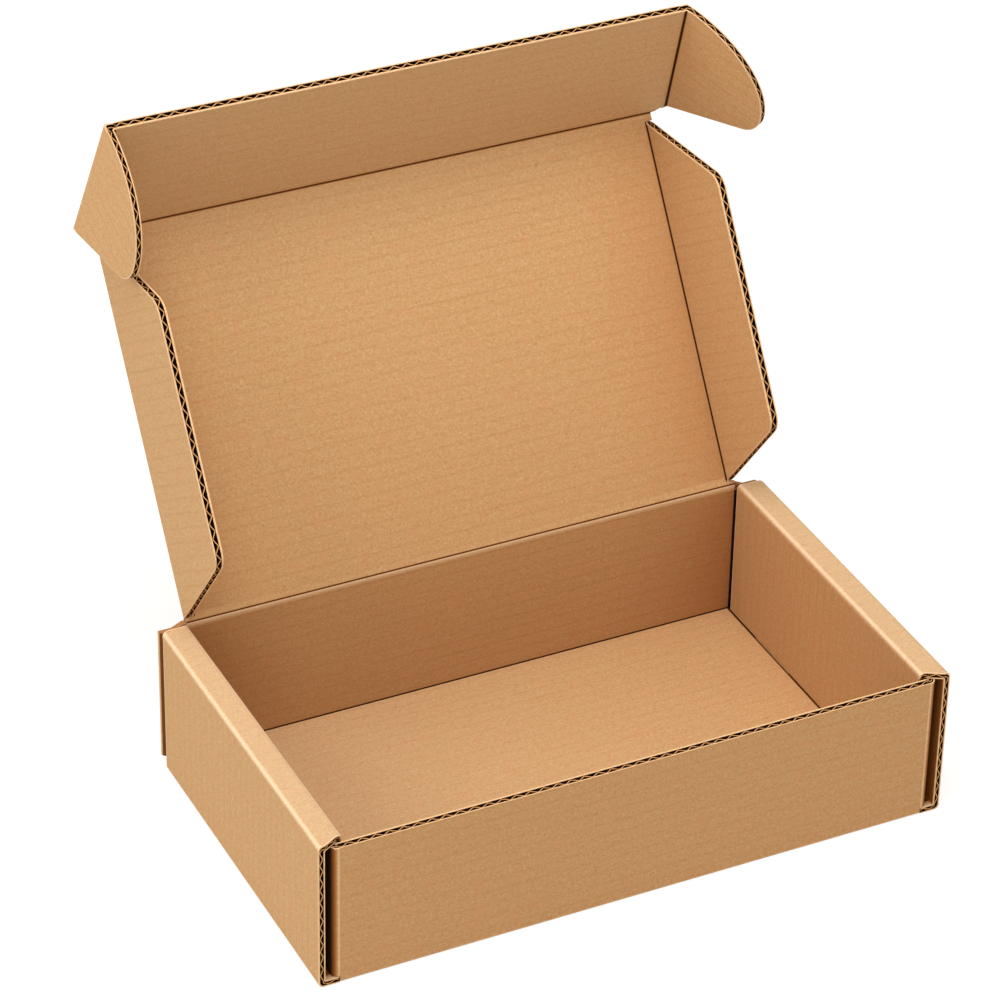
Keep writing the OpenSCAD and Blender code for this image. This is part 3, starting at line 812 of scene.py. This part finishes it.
def tuck_sheet(v0):
    board = Board()
    rows = np.array([REACH, 4.0, *np.linspace(8, TUCK_HEIGHT - 3, 9), TUCK_HEIGHT - RIM, TUCK_HEIGHT])
    half = EAR_X - rows * math.tan(TAPER) - REACH / math.cos(TAPER)
    # the inner side is paler by painted light
    flat(TUCK_FRAME, rows, -half, half, board, shift=v0 + LID_DEPTH, puff=PUFF, sides=("plain", "plain"),
         ends=("plain", "cut"), cols=61, marks=(TUCK_PAINTED_LIGHT, 0.0))
    return board


def beyond_crease(line, steps):
    """The part of an outline that lies beyond the bending strip, in finer steps."""
    shares = np.linspace(0, 1, steps + 1)[:-1, None]
    finer = [a + (b - a) * shares for a, b in zip(line[:-1], line[1:])]
    line = np.concatenate(finer + [line[-1:]])
    inside = np.flatnonzero(line[:, 0] > REACH + 0.01)
    first, last = inside[0], inside[-1]

    def meet(a, b):
        return a + (b - a) * (REACH - a[0]) / (b[0] - a[0])

    start, end = meet(line[first - 1], line[first]), meet(line[last], line[last + 1])
    return np.concatenate([[start], line[inside], [end]])


def wing_outline():
    corners = [(0.0, WING_START), (WING_WIDTH, WING_START + WING_BACK),
               (WING_WIDTH, WING_END - WING_FRONT), (0.0, WING_END)]
    return beyond_crease(rounded(corners, WING_ROUND), 5)


def ear_outline():
    """A slanted lower edge, a round corner, and a long curve up to the tuck flap's free edge."""
    across = EAR_WIDTH - EAR_ROUND
    high = EAR_ROOT + (EAR_ROUND + across * math.sin(EAR_SLANT)) / math.cos(EAR_SLANT)
    turn = np.linspace(EAR_SLANT - math.pi / 2, 0, 12)
    corner = np.c_[across + EAR_ROUND * np.cos(turn), high + EAR_ROUND * np.sin(turn)]
    turn = np.linspace(0, math.pi / 2, 46)[1:]
    curve = np.c_[EAR_WIDTH * np.cos(turn), high + (EAR_CREASE - high) * np.sin(turn)]
    start = np.array([0.0, EAR_ROOT])
    edge = start + (corner[0] - start) * np.linspace(0, 1, 14)[:-1, None]
    return beyond_crease(np.concatenate([edge, corner, curve]), 1)


def flap_sheet(frame_of, line, shift, puff):
    """A wing or an ear: its outline as (distance from the crease, place along it)."""
    board = Board()
    flat(frame_of, line[:, 1], REACH, line[:, 0], board, shift=shift, puff=puff, sides=("none", "cut"),
         ends=("none", "none"))
    return board


tray_board, V_HINGE = tray_sheet()
V_TUCK = V_HINGE + LID_DEPTH
panels = {
    "tray": tray_board,
    "lid": lid_sheet(V_HINGE),
    "tuck_flap": tuck_sheet(V_HINGE),
    "lid_wing_left": flap_sheet(wing_frame(-1), wing_outline(), V_HINGE, PUFF),
    "lid_wing_right": flap_sheet(wing_frame(1), wing_outline(), V_HINGE, PUFF),
    "tuck_ear_left": flap_sheet(ear_frame(-1), ear_outline(), V_TUCK, EAR_PUFF),
    "tuck_ear_right": flap_sheet(ear_frame(1), ear_outline(), V_TUCK, EAR_PUFF),
}
for node, board in panels.items():
    piece = board.build(node + "_board")
    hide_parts(node)
    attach(piece, node)


# Bending strips between the bodies

def crease(name, origin, axis, back, normal, fold, ends_at, sheet_at, puff=(PUFF, PUFF),
           lip=(0.0, 0.0, 0.0), sides="cut"):
    """The board at the crease between two bodies, built bent as at rest. back runs from the crease into
    the parent's panel, and normal to its inner side. fold is how far the child's panel turns to that
    side. ends_at gives the two ends along the axis, from the distance into the child's panel, and
    sheet_at the place on the sheet, from those along the axis and across the crease. lip is the painted
    light and shade of the parent's inner side, from its panel to the fold."""
    board = Board()
    radius = FOLD_IN + BOARD / 2 + (PUFF if fold > 0 else 0.0)
    run = REACH - radius * math.tan(abs(fold) / 2)
    parts = [("line", run), ("bend", math.degrees(fold)), ("line", run)]
    pts, skins, s, folds = path((-REACH, 0), 0, parts, puff)
    mid = section(pts, -back, normal, origin)
    skins = both(skins, -back, normal)
    lo, hi = ends_at(np.maximum(s / s[-1] * 2 - 1, 0) * REACH)
    creased, ridged = fold_marks(s, folds, 1.0, 0.8)
    fold_start, middle = folds[0][0], (folds[0][0] + folds[0][1]) / 2
    # the parent's inner side below the fold: painted shade rising to a painted highlight
    painted_lip_highlight = np.interp(s, (0, 0.4 * fold_start, middle), lip)
    creased = np.where((creased < -0.05) | (s > middle), creased, painted_lip_highlight)
    strip(board, mid, skins, axis, lo, hi, lambda a, i: sheet_at(a, s[i]), (sides, sides),
          ends=("none", "none"), marks=(creased, ridged), cols=33, square=True)
    obj = board.build(name)
    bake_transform(obj)


def lid_ends(r):
    half = np.where(r < WING_START, LID_HALF, WING_X - REACH)
    return -half, half


def tuck_ends(r):
    at_flap = EAR_X - REACH * (math.tan(TAPER) + 1 / math.cos(TAPER))
    half = TUCK_FOOT + r / REACH * (at_flap - TUCK_FOOT)
    return -half, half


def wing_ends(r):
    return WING_START + r * WING_BACK / WING_WIDTH, WING_END - r * WING_FRONT / WING_WIDTH


def ear_ends(r):
    return EAR_ROOT + r * math.tan(EAR_SLANT), EAR_CREASE - EAR_TRIM + 0 * r


crease("lid_crease", HINGE, X, -Z, -Y, math.pi / 2 - LID_OPEN, lid_ends,
       lambda a, s: (a, V_HINGE - REACH + s), puff=(0.0, PUFF), lip=LIP_PAINTED_HIGHLIGHT, sides="plain")
crease("tuck_crease", TUCK_FOLD, X, -LID_UP, LID_NORMAL, TUCK_BENT, tuck_ends,
       lambda a, s: (a, V_TUCK - REACH + s))
for side, label in ((-1, "left"), (1, "right")):
    crease("wing_crease_" + label, HINGE + side * WING_X * X, LID_UP, -side * X,
           LID_NORMAL, WING_BENT, wing_ends, lambda a, s: (side * WING_X + s, V_HINGE + a))
    along, across = ear_lines(side)
    crease("ear_crease_" + label, TUCK_FOLD + side * EAR_X * X, along,
           -across, TUCK_NORMAL, EAR_BENT[side], ear_ends, lambda a, s: (side * EAR_X + s, V_TUCK + a),
           puff=(PUFF, EAR_PUFF))


# Floor, light and camera, in metres

def camera_white(tree, shader, white):
    """Shows white to the camera and to mirror and clear rays, and the shader to the rest."""
    rays = tree.nodes.new("ShaderNodeLightPath").outputs
    seen = rays["Is Camera Ray"]
    for ray in ("Is Glossy Ray", "Is Transmission Ray"):
        either = tree.nodes.new("ShaderNodeMath")
        either.operation, either.use_clamp = "ADD", True
        tree.links.new(seen, either.inputs[0])
        tree.links.new(rays[ray], either.inputs[1])
        seen = either.outputs[0]
    mix = tree.nodes.new("ShaderNodeMixShader")
    for socket, value in zip(mix.inputs, (seen, shader, white)):
        tree.links.new(value, socket)
    return mix.outputs[0]


def pale_floor(half=8.0, drop=0.0002):
    mesh = bpy.data.meshes.new("floor")
    corners = [(-half, -half, 0), (half, -half, 0), (half, half, 0), (-half, half, 0)]
    mesh.from_pydata(corners, [], [(0, 1, 2, 3)])
    floor = bpy.data.objects.new("floor", mesh)
    floor.location.z = -drop
    bpy.context.scene.collection.objects.link(floor)
    mat, tree, bsdf = nodes_of("pale_floor")
    bsdf.inputs["Base Color"].default_value = (0.74, 0.74, 0.74, 1)
    bsdf.inputs["Roughness"].default_value = 0.95
    bsdf.inputs["Specular IOR Level"].default_value = 0.0
    # what the camera sees: near white, with the object's shadow
    glow = tree.nodes.new("ShaderNodeEmission")
    glow.inputs["Strength"].default_value = 0.74
    pale = tree.nodes.new("ShaderNodeBsdfDiffuse")
    pale.inputs["Color"].default_value = (0.34, 0.34, 0.34, 1)
    seen = tree.nodes.new("ShaderNodeAddShader")
    tree.links.new(pale.outputs[0], seen.inputs[0])
    tree.links.new(glow.outputs[0], seen.inputs[1])
    surface = camera_white(tree, bsdf.outputs[0], seen.outputs[0])
    tree.links.new(surface, tree.nodes["Material Output"].inputs["Surface"])
    mesh.materials.append(mat)


def studio_world():
    world = bpy.data.worlds.new("studio")
    bpy.context.scene.world = world
    world.use_nodes = True
    tree = world.node_tree
    soft = tree.nodes["Background"]
    soft.inputs["Color"].default_value = (1.0, 0.955, 0.82, 1)
    soft.inputs["Strength"].default_value = 0.48
    bright = tree.nodes.new("ShaderNodeBackground")
    bright.inputs["Color"].default_value = (1, 1, 1, 1)
    bright.inputs["Strength"].default_value = 1.0
    surface = camera_white(tree, soft.outputs[0], bright.outputs[0])
    tree.links.new(surface, tree.nodes["World Output"].inputs["Surface"])


def lamp(name, direction, distance, size, watts, tint=(1, 1, 1)):
    """A soft round lamp that shines on the box's middle."""
    target = np.array([0, 0.03, 0.1])
    data = bpy.data.lights.new(name, "AREA")
    data.shape, data.size, data.energy, data.color = "DISK", size, watts, tint
    obj = bpy.data.objects.new(name, data)
    way = unit(np.array(direction, float))
    obj.location = target + way * distance
    obj.rotation_euler = Vector(way).to_track_quat("Z", "Y").to_euler()
    bpy.context.scene.collection.objects.link(obj)


def photo_camera(place, yaw, pitch, roll, focal_pixels, image_pixels=1000.0, sensor=36.0):
    """A camera that turns yaw from the back wall's direction, looks down by pitch and leans by roll."""
    level = math.cos(pitch)
    forward = np.array([math.sin(yaw) * level, math.cos(yaw) * level, -math.sin(pitch)])
    flat_right = np.array([math.cos(yaw), -math.sin(yaw), 0.0])
    flat_up = np.cross(flat_right, forward)
    right = math.cos(roll) * flat_right + math.sin(roll) * flat_up
    up = -math.sin(roll) * flat_right + math.cos(roll) * flat_up
    data = bpy.data.cameras.new("camera")
    data.sensor_width = sensor
    data.lens = sensor * focal_pixels / image_pixels
    camera = bpy.data.objects.new("camera", data)
    columns = np.stack([right, up, -forward, np.array(place)], 1)
    camera.matrix_world = Matrix([*columns.tolist(), [0.0, 0.0, 0.0, 1.0]])
    bpy.context.scene.collection.objects.link(camera)
    bpy.context.scene.camera = camera


pale_floor()
studio_world()
lamp("top", (-0.12, -0.25, 0.96), 2.3, 1.5, 32)
lamp("left", (-0.80, 0.0, 0.60), 2.3, 1.5, 20)
lamp("front", (-0.15, -0.98, 0.06), 2.4, 1.4, 9.5, (1.0, 0.87, 0.66))
photo_camera(place=(-0.7211, -1.3951, 1.1749), yaw=math.radians(26.47), pitch=math.radians(33.12),
             roll=math.radians(1.20), focal_pixels=4391.0)
bpy.context.scene.view_settings.view_transform = "Standard"
